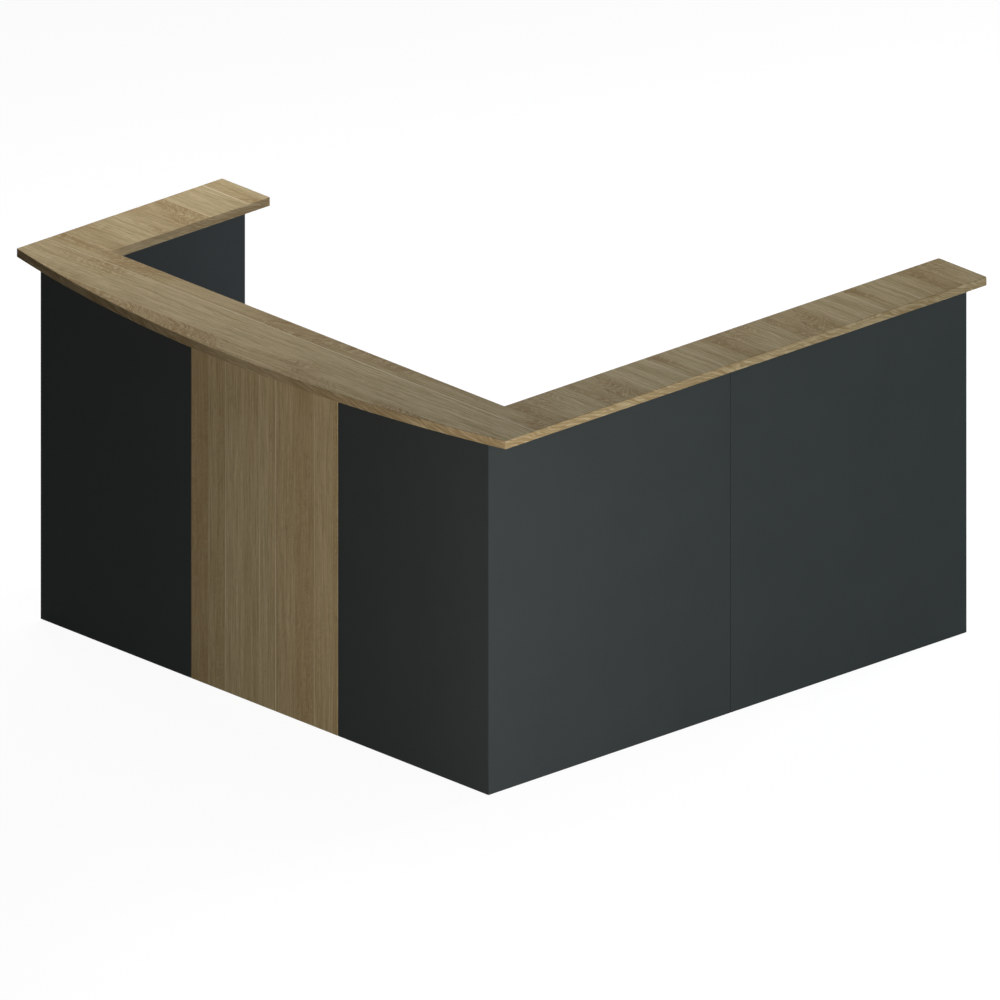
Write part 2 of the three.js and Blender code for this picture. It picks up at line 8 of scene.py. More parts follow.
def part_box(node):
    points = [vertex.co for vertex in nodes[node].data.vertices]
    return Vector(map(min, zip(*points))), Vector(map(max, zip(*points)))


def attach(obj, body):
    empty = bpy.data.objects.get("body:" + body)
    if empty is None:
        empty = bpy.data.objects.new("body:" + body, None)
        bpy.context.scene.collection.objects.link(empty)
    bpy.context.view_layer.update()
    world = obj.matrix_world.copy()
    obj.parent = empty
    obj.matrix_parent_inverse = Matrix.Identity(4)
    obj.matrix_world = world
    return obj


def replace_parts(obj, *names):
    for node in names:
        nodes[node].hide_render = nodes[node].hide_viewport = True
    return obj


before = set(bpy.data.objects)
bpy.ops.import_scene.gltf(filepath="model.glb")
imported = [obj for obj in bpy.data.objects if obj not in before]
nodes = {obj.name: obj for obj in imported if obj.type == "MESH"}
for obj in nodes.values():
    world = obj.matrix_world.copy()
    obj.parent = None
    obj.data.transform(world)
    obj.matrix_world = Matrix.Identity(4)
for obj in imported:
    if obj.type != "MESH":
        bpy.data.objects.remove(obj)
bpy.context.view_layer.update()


# Walls, gables, rails and cleats: 16 mm chipboard faced with anthracite melamine, edged to match
# and screwed together from the inside. The press plate leaves a dead matt, finely pearled face.
def linear(hex_colour):
    """Linear RGBA of an sRGB hex colour."""
    parts = [int(hex_colour[i:i + 2], 16) / 255 for i in (1, 3, 5)]
    return [c / 12.92 if c <= 0.04045 else ((c + 0.055) / 1.055) ** 2.4 for c in parts] + [1.0]


def add_node(tree, kind, inputs=None, **settings):
    """Adds a node with its settings; an input takes a value, or a socket to link from."""
    node = tree.nodes.new(kind)
    for name, value in settings.items():
        setattr(node, name, value)
    for key, value in (inputs or {}).items():
        if isinstance(value, bpy.types.NodeSocket):
            tree.links.new(value, node.inputs[key])
        else:
            node.inputs[key].default_value = value
    return node


def new_finish(name):
    """An empty material, with its node tree and its output node."""
    material = bpy.data.materials.new(name)
    material.use_nodes = True
    tree = material.node_tree
    tree.nodes.clear()
    return material, tree, tree.nodes.new("ShaderNodeOutputMaterial")


def wear(material, names):
    """Gives CAD nodes one finish."""
    for name in names:
        nodes[name].data.materials.clear()
        nodes[name].data.materials.append(material)


# The sockets of a Mix node when it mixes colours.
colour_a, colour_b, mixed = 6, 7, 2

anthracite, tree, output = new_finish("anthracite_melamine")
place = add_node(tree, "ShaderNodeTexCoord").outputs["Object"]
# Cloudy print, patches about 180 mm across.
cloud = add_node(tree, "ShaderNodeTexNoise", {
    "Vector": place, "Scale": 5.5, "Detail": 3.0, "Roughness": 0.55}).outputs["Fac"]
# Pearl of the press plate, about 1.5 mm, drawn that coarse so that it shows from a step away.
pearl = add_node(tree, "ShaderNodeTexNoise", {
    "Vector": place, "Scale": 650.0, "Detail": 2.0}).outputs["Fac"]
tone = add_node(tree, "ShaderNodeMix", {
    "Factor": cloud, colour_a: linear("#383b3b"), colour_b: linear("#3d4040")}, data_type="RGBA")
# Painted shade of the joint: where the two right-wall boards meet, each ends in a dark 0.5 mm line.
fore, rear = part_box("right_side_panel_front"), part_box("right_side_panel_rear")
wall_joint, wall_middle = (fore[1].y + rear[0].y) / 2, (fore[0].x + fore[1].x) / 2
coordinates = add_node(tree, "ShaderNodeSeparateXYZ", {0: place}).outputs
past = add_node(tree, "ShaderNodeMath", {
    0: coordinates["Y"], 1: wall_joint}, operation="SUBTRACT").outputs[0]
off = add_node(tree, "ShaderNodeMath", {0: past}, operation="ABSOLUTE").outputs[0]
joint_shade_line = add_node(tree, "ShaderNodeMapRange", {
    "Value": off, "From Min": 0.0004, "From Max": 0.0008, "To Min": 1.0, "To Max": 0.0})
outer_half = add_node(tree, "ShaderNodeMath", {
    0: coordinates["X"], 1: wall_middle}, operation="GREATER_THAN").outputs[0]
joint_shade = add_node(tree, "ShaderNodeMath", {
    0: joint_shade_line.outputs["Result"], 1: outer_half}, operation="MULTIPLY").outputs[0]
# The joint's painted shade: its nearly black hairline mixed into the board's tone.
with_joint_shade = add_node(tree, "ShaderNodeMix", {
    "Factor": joint_shade, colour_a: tone.outputs[mixed], colour_b: linear("#121414")},
    data_type="RGBA")
matt = add_node(tree, "ShaderNodeMapRange", {
    "Value": pearl, "From Min": 0.3, "From Max": 0.7, "To Min": 0.52, "To Max": 0.62})
relief = add_node(tree, "ShaderNodeBump", {"Height": pearl, "Strength": 0.12, "Distance": 0.0003})
melamine = add_node(tree, "ShaderNodeBsdfPrincipled", {
    "Base Color": with_joint_shade.outputs[mixed], "Roughness": matt.outputs["Result"],
    "Normal": relief.outputs["Normal"], "IOR": 1.5, "Specular IOR Level": 0.03})
tree.links.new(melamine.outputs["BSDF"], output.inputs["Surface"])
wear(anthracite, [
    "front_panel_left", "front_panel_right", "left_side_panel", "right_side_panel_front",
    "right_side_panel_rear", "front_gable_left", "front_gable_right", "return_gable_middle",
    "return_gable_end", "front_rail_left", "front_rail_centre", "front_rail_right",
    "worktop_cleat_left", "worktop_cleat_right"])


# Mitre glue: the front boards meet the side boards in mitres, which are glued. The glue is tinted
# to match the boards, fills the joint to 3 mm from the floor and the counter, and keeps light out.
front_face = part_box("front_panel_right")[0].y
wall_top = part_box("front_panel_right")[1].z
wall_thickness, half_gap = 0.016, 0.0001
glue_thickness, glue_width, glue_shorter = 0.000304, 0.0195, 0.006
to_joint = wall_thickness / 2 + half_gap
for side, name in ((-1, "left"), (1, "right")):
    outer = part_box("left_side_panel")[0].x if side < 0 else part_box("right_side_panel_front")[1].x
    bpy.ops.object.select_all(action="DESELECT")
    bpy.ops.mesh.primitive_cube_add(size=1)
    glue = bpy.context.object
    glue.name = "mitre_glue_" + name
    bpy.ops.object.mode_set(mode="EDIT")
    bpy.ops.transform.resize(value=(glue_width, glue_thickness, wall_top - glue_shorter))
    bpy.ops.mesh.bevel(offset=glue_thickness / 4, segments=2)
    bpy.ops.object.mode_set(mode="OBJECT")
    glue.data.transform(
        Matrix.Translation((outer - side * to_joint, front_face + to_joint, wall_top / 2))
        @ Matrix.Rotation(side * math.radians(-45), 4, "Z"))
    glue.data.materials.append(anthracite)
    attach(glue, "desk")


# Centre panel: chipboard with a printed oak paper pressed on, matt, set flush between the dark
# panels. The print shows narrow upright planks, olive and brown by turns, with fine wavy grain,
# flame figure, pores, and a pale line between some of them.
def oak_print(name, axes, first_seam, planks, sway, slope, figure, pale, deep, flame, lean=0.8):
    """Oak print with its grain along the first of three axes and its planks along the second.

    Planks gives, for each plank of the repeat, its width, its brownness and the strength of the
    pale line before it. Sway is how far the grain wanders, slope how much it climbs, figure how
    strong the flame is, and lean how far its strokes lie along the grain. The grain goes from deep
    to pale, and the brown is flame.
    """
    material, tree, output = new_finish(name)
    grain_axis, plank_axis, depth_axis = axes
    place = add_node(tree, "ShaderNodeSeparateXYZ", {
        0: add_node(tree, "ShaderNodeTexCoord").outputs["Object"]}).outputs
    across = add_node(tree, "ShaderNodeMath", {
        0: place[plank_axis], 1: first_seam}, operation="SUBTRACT").outputs[0]
    period = sum(width for width, brownness, line in planks)
    repeat = add_node(tree, "ShaderNodeMath", {
        0: across, 1: period}, operation="FLOORED_MODULO").outputs[0]
    share = add_node(tree, "ShaderNodeMath", {0: repeat, 1: period}, operation="DIVIDE").outputs[0]
    row = add_node(tree, "ShaderNodeValToRGB", {"Fac": share})
    row.color_ramp.interpolation = "CONSTANT"
    # A ramp is read in 255 steps, and each plank starts on one of them.
    ramp_steps, just_before, start = 255, 0.2, 0.0
    for number, (width, brownness, line) in enumerate(planks):
        mark = round(start / period * ramp_steps)
        position = max(0.0, mark - just_before) / ramp_steps
        ready = row.color_ramp.elements
        step = ready[number] if number < 2 else ready.new(position)
        step.position = position
        step.color = (brownness, line, mark / ramp_steps, 1)
        start += width
    plank = add_node(tree, "ShaderNodeSeparateColor", {"Color": row.outputs["Color"]}).outputs
    # Each plank has a stretch of the print of its own.
    own_stretch = 7.3
    along = add_node(tree, "ShaderNodeMath", {
        0: plank["Red"], 1: own_stretch, 2: place[grain_axis]}, operation="MULTIPLY_ADD").outputs[0]
    climb = add_node(tree, "ShaderNodeMath", {
        0: along, 1: slope, 2: repeat}, operation="MULTIPLY_ADD").outputs[0]
    straight = add_node(tree, "ShaderNodeCombineXYZ", {
        "X": along, "Y": climb, "Z": place[depth_axis]}).outputs[0]
    # Sway: the grain wanders sideways in waves about 55 mm long.
    slow = add_node(tree, "ShaderNodeMapping", {"Vector": straight, "Scale": (18.0, 24.0, 18.0)})
    waves = add_node(tree, "ShaderNodeTexNoise", {
        "Vector": slow.outputs[0], "Scale": 1.0, "Detail": 2.0})
    shift = add_node(tree, "ShaderNodeMapRange", {
        "Value": waves.outputs["Fac"], "From Min": 0.25, "From Max": 0.75,
        "To Min": -sway, "To Max": sway})
    aside = add_node(tree, "ShaderNodeCombineXYZ", {"Y": shift.outputs["Result"]})
    wavy = add_node(tree, "ShaderNodeVectorMath", {
        0: straight, 1: aside.outputs[0]}, operation="ADD").outputs[0]
    # Grain lines: about 5 mm apart and 200 mm long.
    fine = add_node(tree, "ShaderNodeMapping", {"Vector": wavy, "Scale": (5.0, 190.0, 5.0)})
    streak = add_node(tree, "ShaderNodeTexNoise", {
        "Vector": fine.outputs[0], "Scale": 1.0, "Detail": 4.0, "Roughness": 0.68}).outputs["Fac"]
    light = add_node(tree, "ShaderNodeMapRange", {
        "Value": streak, "From Min": 0.36, "From Max": 0.64})
    grain = add_node(tree, "ShaderNodeMix", {
        "Factor": light.outputs["Result"], colour_a: linear(deep), colour_b: linear(pale)},
        data_type="RGBA")
    # Flame strokes, about 9 mm apart however far they lean. They lean to both sides of the plank's
    # heart, 70 mm from its edge, and bend where the wood has a hill.
    begun = add_node(tree, "ShaderNodeMath", {
        0: share, 1: plank["Blue"]}, operation="SUBTRACT").outputs[0]
    inside = add_node(tree, "ShaderNodeMath", {
        0: begun, 1: period}, operation="MULTIPLY").outputs[0]
    heart, bend, closeness = 0.07, 0.16, 192.0
    from_heart = add_node(tree, "ShaderNodeMath", {
        0: inside, 1: heart}, operation="SUBTRACT").outputs[0]
    arm = add_node(tree, "ShaderNodeMath", {0: from_heart}, operation="ABSOLUTE").outputs[0]
    ahead = add_node(tree, "ShaderNodeMath", {
        0: place[grain_axis], 1: place[depth_axis]}, operation="ADD").outputs[0]
    leaning = add_node(tree, "ShaderNodeMath", {
        0: arm, 1: lean, 2: ahead}, operation="MULTIPLY_ADD").outputs[0]
    broad = add_node(tree, "ShaderNodeMapping", {"Vector": wavy, "Scale": (7.0, 20.0, 7.0)})
    hill = add_node(tree, "ShaderNodeTexNoise", {
        "Vector": broad.outputs[0], "Scale": 1.0, "Detail": 2.0}).outputs["Fac"]
    bent = add_node(tree, "ShaderNodeMath", {
        0: hill, 1: bend, 2: leaning}, operation="MULTIPLY_ADD").outputs[0]
    swept = add_node(tree, "ShaderNodeCombineXYZ", {"X": bent, "Y": repeat}).outputs[0]
    drawn = add_node(tree, "ShaderNodeMapping", {
        "Vector": swept, "Scale": (closeness / math.hypot(1, lean), 22.0, 1.0)})
    stroke = add_node(tree, "ShaderNodeTexNoise", {
        "Vector": drawn.outputs[0], "Scale": 1.0, "Detail": 2.0}).outputs["Fac"]
    dark = add_node(tree, "ShaderNodeMapRange", {
        "Value": stroke, "From Min": 0.42, "From Max": 0.57})
    # They come in patches about 300 mm long, most of all on the brown planks. The stronger they
    # are, the less of the brown is spread evenly.
    spread = add_node(tree, "ShaderNodeMapping", {
        "Vector": wavy, "Scale": (3.4, 7.0, 3.4), "Location": (3.1, 0.4, 0)})
    where = add_node(tree, "ShaderNodeTexNoise", {
        "Vector": spread.outputs[0], "Scale": 1.0, "Detail": 1.0}).outputs["Fac"]
    favour = 0.3
    likely = add_node(tree, "ShaderNodeMath", {
        0: plank["Red"], 1: favour, 2: where}, operation="MULTIPLY_ADD").outputs[0]
    patch = add_node(tree, "ShaderNodeMapRange", {
        "Value": likely, "From Min": 0.56, "From Max": 0.76, "To Max": figure})
    flamed = add_node(tree, "ShaderNodeMath", {
        0: dark.outputs["Result"], 1: patch.outputs["Result"]}, operation="MULTIPLY").outputs[0]
    brown = add_node(tree, "ShaderNodeMath", {
        0: plank["Red"], 1: 0.5 - figure / 4, 2: flamed},
        operation="MULTIPLY_ADD", use_clamp=True).outputs[0]
    figured = add_node(tree, "ShaderNodeMix", {
        "Factor": brown, colour_a: grain.outputs[mixed], colour_b: linear(flame)},
        data_type="RGBA")
    # Pores: dashes about 1.5 mm wide and 30 mm long.
    short = add_node(tree, "ShaderNodeMapping", {"Vector": wavy, "Scale": (33.0, 620.0, 33.0)})
    pore = add_node(tree, "ShaderNodeTexNoise", {
        "Vector": short.outputs[0], "Scale": 1.0, "Detail": 1.0})
    depth = add_node(tree, "ShaderNodeMapRange", {
        "Value": pore.outputs["Fac"], "From Min": 0.55, "From Max": 0.75,
        "To Max": 0.4}).outputs["Result"]
    porous = add_node(tree, "ShaderNodeMix", {
        "Factor": depth, colour_a: figured.outputs[mixed], colour_b: linear("#6b5636")},
        data_type="RGBA")
    # Pale lines, 4 mm wide, which come and go along the plank.
    edge = add_node(tree, "ShaderNodeMapRange", {
        "Value": inside, "From Min": 0.0032, "From Max": 0.0048, "To Min": 1.0, "To Max": 0.0})
    stretch = add_node(tree, "ShaderNodeMapping", {"Vector": wavy, "Scale": (3.0, 0.0, 3.0)})
    fading = add_node(tree, "ShaderNodeTexNoise", {
        "Vector": stretch.outputs[0], "Scale": 1.0, "Detail": 0.0})
    clear = add_node(tree, "ShaderNodeMapRange", {
        "Value": fading.outputs["Fac"], "From Min": 0.4, "From Max": 0.5,
        "To Min": 0.5, "To Max": 1.0})
    lined = add_node(tree, "ShaderNodeMath", {
        0: edge.outputs["Result"], 1: plank["Green"]}, operation="MULTIPLY").outputs[0]
    seam = add_node(tree, "ShaderNodeMath", {
        0: lined, 1: clear.outputs["Result"]}, operation="MULTIPLY").outputs[0]
    wood = add_node(tree, "ShaderNodeMix", {
        "Factor": seam, colour_a: porous.outputs[mixed], colour_b: linear("#e6dabb")},
        data_type="RGBA")
    satin = add_node(tree, "ShaderNodeMapRange", {
        "Value": streak, "From Min": 0.3, "From Max": 0.7, "To Min": 0.66, "To Max": 0.56})
    relief = add_node(tree, "ShaderNodeBump", {
        "Height": depth, "Strength": 0.3, "Distance": 0.0003}, invert=True)
    paper = add_node(tree, "ShaderNodeBsdfPrincipled", {
        "Base Color": wood.outputs[mixed], "Roughness": satin.outputs["Result"],
        "Normal": relief.outputs["Normal"], "IOR": 1.5, "Specular IOR Level": 0.04})
    tree.links.new(paper.outputs["BSDF"], output.inputs["Surface"])
    return material


panel_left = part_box("front_panel_centre")[0].x
oak_upright = oak_print(
    "oak_print_upright", "ZXY", first_seam=panel_left, planks=(
        (0.071, 0.9, 0.0), (0.035, 0.42, 0.2), (0.032, 0.58, 0.0), (0.076, 0.0, 0.95),
        (0.065, 0.28, 0.1), (0.042, 0.0, 0.7), (0.025, 0.3, 0.0), (0.081, 0.38, 0.9),
        (0.079, 0.75, 0.1), (0.078, 0.42, 0.4), (0.025, 0.9, 0.0)),
    sway=0.0018, slope=0.0, figure=0.2, pale="#d8c39a", deep="#b7a27a", flame="#a58659")
wear(oak_upright, ["front_panel_centre"])


# Front top: a 25 mm board in the same decor, its front edge cut to a bow, laid on the front
# panels and gables. It shows one wide olive plank along the front and a brown one behind it.
oak_front = oak_print(
    "oak_print_front", "XYZ", first_seam=front_face - 0.0585,
    planks=((0.157, 0.12, 0.0), (0.243, 0.72, 0.95)),
    sway=0.003, slope=0.0, figure=0.8, pale="#dac8a0", deep="#b19e75", flame="#a3875c")
wear(oak_front, ["counter_top_front"])


# Wing tops and worktops: 25 mm boards in the same decor, butted to the front top or to each
# other and held by plates from below. They are cut from one board with its grain along the
# front: seven planks, then the print repeats.
oak_level = oak_print(
    "oak_print_level", "XYZ", first_seam=front_face + 0.6975, planks=(
        (0.054, 0.5, 0.95), (0.080, 0.0, 0.0), (0.094, 0.35, 0.9), (0.066, 0.8, 0.0),
        (0.154, 0.1, 0.3), (0.156, 0.62, 0.1), (0.152, 0.08, 0.3)),
    sway=0.003, slope=0.0, figure=0.7, pale="#dac8a0", deep="#b19e75", flame="#a3875c")
wear(oak_level, ["counter_top_left", "counter_top_right", "worktop_front", "worktop_return"])


# Oak edging: a 2 mm strip of printed ABS glued round the free edges of the tops. It is a shade
# warmer than the boards, and its figure runs along the strip, so it doesn't meet theirs. Its
# planks are far wider than a strip, so no strip shows a seam.
oak_strip = oak_print(
    "oak_edging_print", "XZY", first_seam=-1.5, planks=((2.0, 0.95, 0.0), (2.0, 0.95, 0.0)),
    sway=0.005, slope=0.12, figure=0.75, pale="#d7c19b", deep="#ab946f", flame="#987f5a",
    lean=3.0)
wear(oak_strip, [name for name in nodes if "edging" in name])


# Brackets and joint plates: steel strip, pressed and zinc plated, screwed on from the staff side.
# The plating is a pale blue-grey with a faint crystal mottle and a half-gloss.
zinc, tree, output = new_finish("zinc_plated_steel")
place = add_node(tree, "ShaderNodeTexCoord").outputs["Object"]
# Crystals about 4 mm across.
crystal = add_node(tree, "ShaderNodeTexVoronoi", {"Vector": place, "Scale": 250.0})
plated = add_node(tree, "ShaderNodeMix", {
    "Factor": crystal.outputs["Color"], colour_a: linear("#a9adb0"), colour_b: linear("#c3c7c9")},
    data_type="RGBA")
gloss = add_node(tree, "ShaderNodeMapRange", {
    "Value": crystal.outputs["Distance"], "From Max": 0.8, "To Min": 0.3, "To Max": 0.45})
metal = add_node(tree, "ShaderNodeBsdfPrincipled", {
    "Base Color": plated.outputs[mixed], "Metallic": 1.0, "Roughness": gloss.outputs["Result"]})
tree.links.new(metal.outputs["BSDF"], output.inputs["Surface"])
wear(zinc, [name for name in nodes if name.startswith("counter_bracket") or "joint_plate" in name
            or name.startswith("leveller_bracket")])


# Screws: pan-head steel screws with a cross recess, zinc plated, one in each hole of the brackets
# and plates. Their heads show on the staff side; the shanks are in the boards.
def pick(kind, test):
    """Selects, in edit mode, the vertices, edges or faces whose middle passes a test."""
    bpy.ops.mesh.select_mode(type=kind)
    bpy.ops.mesh.select_all(action="DESELECT")
    mesh = bmesh.from_edit_mesh(bpy.context.object.data)
    for part in {"VERT": mesh.verts, "EDGE": mesh.edges, "FACE": mesh.faces}[kind]:
        ends = [part] if kind == "VERT" else part.verts
        part.select_set(bool(test(sum((end.co for end in ends), Vector()) / len(ends))))
    mesh.select_flush_mode()
    bmesh.update_edit_mesh(bpy.context.object.data)


def activate(piece):
    """Selects one piece alone and makes it the active one."""
    bpy.ops.object.select_all(action="DESELECT")
    piece.select_set(True)
    bpy.context.view_layer.objects.active = piece


def apply_modifier(piece, kind, **settings):
    """Adds one modifier to a piece and applies it."""
    modifier = piece.modifiers.new(kind.lower(), kind)
    for name, value in settings.items():
        setattr(modifier, name, value)
    activate(piece)
    bpy.ops.object.modifier_apply(modifier=modifier.name)


def cylinder(sides, radius, low, high):
    """Starts a piece as an upright cylinder on the origin's axis, in edit mode."""
    bpy.ops.object.select_all(action="DESELECT")
    bpy.ops.mesh.primitive_cylinder_add(
        vertices=sides, radius=radius, depth=high - low, location=(0, 0, (low + high) / 2))
    bpy.ops.object.transform_apply(location=True)
    bpy.ops.object.mode_set(mode="EDIT")
    return bpy.context.object


def shade(piece, finish):
    """Ends a model: smooth faces, sharp edges, one finish."""
    activate(piece)
    bpy.ops.object.shade_smooth_by_angle(angle=math.radians(35))
    piece.data.materials.clear()
    piece.data.materials.append(finish)


def place_copy(model, name, body, spot, turn=Matrix()):
    """A copy of a model with a mesh of its own, put in place in that mesh, riding on a body."""
    piece = model.copy()
    piece.data = model.data.copy()
    piece.name = name
    piece.data.transform(Matrix.Translation(spot) @ turn)
    bpy.context.scene.collection.objects.link(piece)
    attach(piece, body)
    return piece


# Head, with its rim rounded over, and the recess cut into it by a cross of four arms.
touch = 1e-6
head_radius, head_height, head_round = 0.0046, 0.0026, 0.0018
recess_width, recess_arm, recess_stretch = 0.0011, 0.0018, 3.2
screw = cylinder(32, head_radius, 0, head_height)
pick("EDGE", lambda middle: middle.z > head_height - touch)
bpy.ops.mesh.bevel(offset=head_round, segments=5)
bpy.ops.object.mode_set(mode="OBJECT")
bpy.ops.object.select_all(action="DESELECT")
bpy.ops.mesh.primitive_cube_add(size=recess_width, location=(0, 0, head_height))
bpy.ops.object.transform_apply(location=True)
cross = bpy.context.object
bpy.ops.object.mode_set(mode="EDIT")
bpy.ops.transform.resize(value=(1, 1, recess_stretch), center_override=(0, 0, head_height))
pick("FACE", lambda middle: math.hypot(middle.x, middle.y) > recess_width / 4)
bpy.ops.mesh.extrude_faces_move(TRANSFORM_OT_shrink_fatten={"value": recess_arm})
bpy.ops.object.mode_set(mode="OBJECT")
apply_modifier(screw, "BOOLEAN", operation="DIFFERENCE", object=cross)
bpy.data.objects.remove(cross)
shade(screw, zinc)

# Places: two in each counter bracket, four in each joint plate, one in each leveller bracket.
bracket_gauge, wall_screw_down, top_screw_out = 0.003, 0.036, 0.064
plate_screws_along = (-0.046, -0.014, 0.014, 0.046)
leveller_back, leveller_screw_up = 0.0175, 0.062
away_from_wall = {
    "left_front": (1, 0, 0), "left_rear": (1, 0, 0), "gable_left": (-1, 0, 0),
    "gable_right": (1, 0, 0), "right_front": (-1, 0, 0), "right_rear": (-1, 0, 0),
    "return_middle": (0, -1, 0), "return_end": (0, -1, 0)}
down = (0, 0, -1)
heads = []
for name in nodes:
    low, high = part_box(name)
    centre = (low + high) / 2
    if name.startswith("counter_bracket"):
        inward = -1 if centre.x > 0 else 1
        wall = high.x if inward < 0 else low.x
        in_wall = Vector((wall + inward * bracket_gauge, centre.y, high.z - wall_screw_down))
        in_top = Vector((wall + inward * top_screw_out, centre.y, high.z - bracket_gauge))
        heads.append((name + "_wall", in_wall, (inward, 0, 0)))
        heads.append((name + "_top", in_top, down))
    elif "joint_plate" in name:
        for number, along in enumerate(plate_screws_along, 1):
            heads.append((f"{name}_{number}", Vector((centre.x, centre.y + along, low.z)), down))
foot_axis = {}
for foot, away in away_from_wall.items():
    low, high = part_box("leveller_foot_" + foot)
    foot_axis[foot] = Vector(((low.x + high.x) / 2, (low.y + high.y) / 2, 0))
    in_board = foot_axis[foot] - Vector(away) * leveller_back + Vector((0, 0, leveller_screw_up))
    heads.append(("leveller_" + foot, in_board, away))
# Each recess stands as its screw happened to stop.
stop_step = 0.7
for number, (name, spot, out) in enumerate(heads):
    facing = Vector(out).to_track_quat("Z", "Y").to_matrix().to_4x4()
    stopped = Matrix.Rotation(stop_step * number, 4, "Z")
    place_copy(screw, "screw_" + name, "desk", spot, facing @ stopped)
bpy.data.objects.remove(screw)


# Levelling feet: a zinc-plated M8 stud with a hexagon collar, moulded into a round pad of black
# polypropylene. The stud turns in the bracket, so pad and stud go up and down together.
def outline(points):
    """Starts a piece as a line through points (x, z), in edit mode."""
    bpy.ops.object.select_all(action="DESELECT")
    bpy.ops.mesh.primitive_plane_add(size=0.001)
    bpy.ops.object.mode_set(mode="EDIT")
    bpy.ops.mesh.select_mode(type="VERT")
    bpy.ops.mesh.select_all(action="SELECT")
    bpy.ops.mesh.merge(type="CENTER")
    bpy.ops.transform.translate(value=(points[0][0], 0, points[0][1]))
    for before, after in zip(points, points[1:]):
        bpy.ops.mesh.extrude_region_move(
            TRANSFORM_OT_translate={"value": (after[0] - before[0], 0, after[1] - before[1])})
    return bpy.context.object


moulded, tree, output = new_finish("black_polypropylene")
place = add_node(tree, "ShaderNodeTexCoord").outputs["Object"]
# Spark grain about 0.8 mm.
spark = add_node(tree, "ShaderNodeTexNoise", {
    "Vector": place, "Scale": 1200.0, "Detail": 2.0}).outputs["Fac"]
black = add_node(tree, "ShaderNodeMix", {
    "Factor": spark, colour_a: linear("#191a1b"), colour_b: linear("#232425")}, data_type="RGBA")
relief = add_node(tree, "ShaderNodeBump", {"Height": spark, "Strength": 0.2, "Distance": 0.0002})
plastic = add_node(tree, "ShaderNodeBsdfPrincipled", {
    "Base Color": black.outputs[mixed], "Roughness": 0.5, "Normal": relief.outputs["Normal"],
    "IOR": 1.49})
tree.links.new(plastic.outputs["BSDF"], output.inputs["Surface"])

# Pad with twelve grips pressed into its rim, one in every fourth face.
pad_sides, pad_radius, pad_height, pad_round, pad_under_round = 48, 0.016, 0.008, 0.0022, 0.001
grip_every, grip_margin, grip_depth, rim_slack = 4, 0.0004, 0.0007, 0.0001
pad = cylinder(pad_sides, pad_radius, 0, pad_height)
pick("EDGE", lambda middle: middle.z > pad_height - touch)
bpy.ops.mesh.bevel(offset=pad_round, segments=4)
pick("EDGE", lambda middle: middle.z < touch)
bpy.ops.mesh.bevel(offset=pad_under_round, segments=2)


def on_grip(middle):
    """Whether a face of the pad is on its rim and has a grip."""
    turned = math.degrees(math.atan2(middle.y, middle.x)) * pad_sides / 360
    on_rim = math.hypot(middle.x, middle.y) > pad_radius - rim_slack
    return on_rim and round(turned - 0.5) % grip_every == 0


pick("FACE", on_grip)
bpy.ops.mesh.inset(thickness=grip_margin, use_individual=True)
bpy.ops.transform.shrink_fatten(value=-grip_depth)
bpy.ops.object.mode_set(mode="OBJECT")
shade(pad, moulded)

# Thread: one closed ridge, wound round the stud's core.
pitch, turns, root, crest = 0.00125, 46, 0.0033, 0.004
thread_low, ridge = pad_height - pitch, pitch * 0.96
thread = outline([
    (root, thread_low), (crest, thread_low + ridge / 2), (root, thread_low + ridge),
    (root, thread_low)])
bpy.ops.mesh.select_all(action="SELECT")
bpy.ops.mesh.remove_doubles(threshold=touch)
bpy.ops.object.mode_set(mode="OBJECT")
apply_modifier(thread, "SCREW", axis="Z", screw_offset=pitch, iterations=turns,
               steps=20, render_steps=20)
bpy.ops.object.mode_set(mode="EDIT")
bpy.ops.mesh.select_all(action="SELECT")
bpy.ops.mesh.fill_holes(sides=3)
bpy.ops.mesh.select_all(action="SELECT")
bpy.ops.mesh.normals_make_consistent(inside=False)
bpy.ops.object.mode_set(mode="OBJECT")

# Core, from inside the pad to its chamfered top, and collar.
core_radius, core_low, core_top, core_chamfer = 0.0034, 0.002, 0.066, 0.0006
stud = cylinder(32, core_radius, core_low, core_top)
pick("EDGE", lambda middle: middle.z > core_top - touch)
bpy.ops.mesh.bevel(offset=core_chamfer, segments=2)
bpy.ops.object.mode_set(mode="OBJECT")
collar_radius, collar_low, collar_top, collar_chamfer = 0.0075, 0.0232, 0.0297, 0.0007
collar = cylinder(6, collar_radius, collar_low, collar_top)
pick("EDGE", lambda middle: middle.z > collar_top - touch or middle.z < collar_low + touch)
bpy.ops.mesh.bevel(offset=collar_chamfer, segments=2)
bpy.ops.object.mode_set(mode="OBJECT")
bpy.ops.object.select_all(action="DESELECT")
for part in (thread, collar, stud):
    part.select_set(True)
bpy.context.view_layer.objects.active = stud
bpy.ops.object.join()
shade(stud, zinc)
for foot, axis in foot_axis.items():
    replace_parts(place_copy(pad, "foot_pad_" + foot, "foot_" + foot, axis),
                "leveller_foot_" + foot)
    place_copy(stud, "foot_stud_" + foot, "foot_" + foot, axis)
bpy.data.objects.remove(pad)
bpy.data.objects.remove(stud)


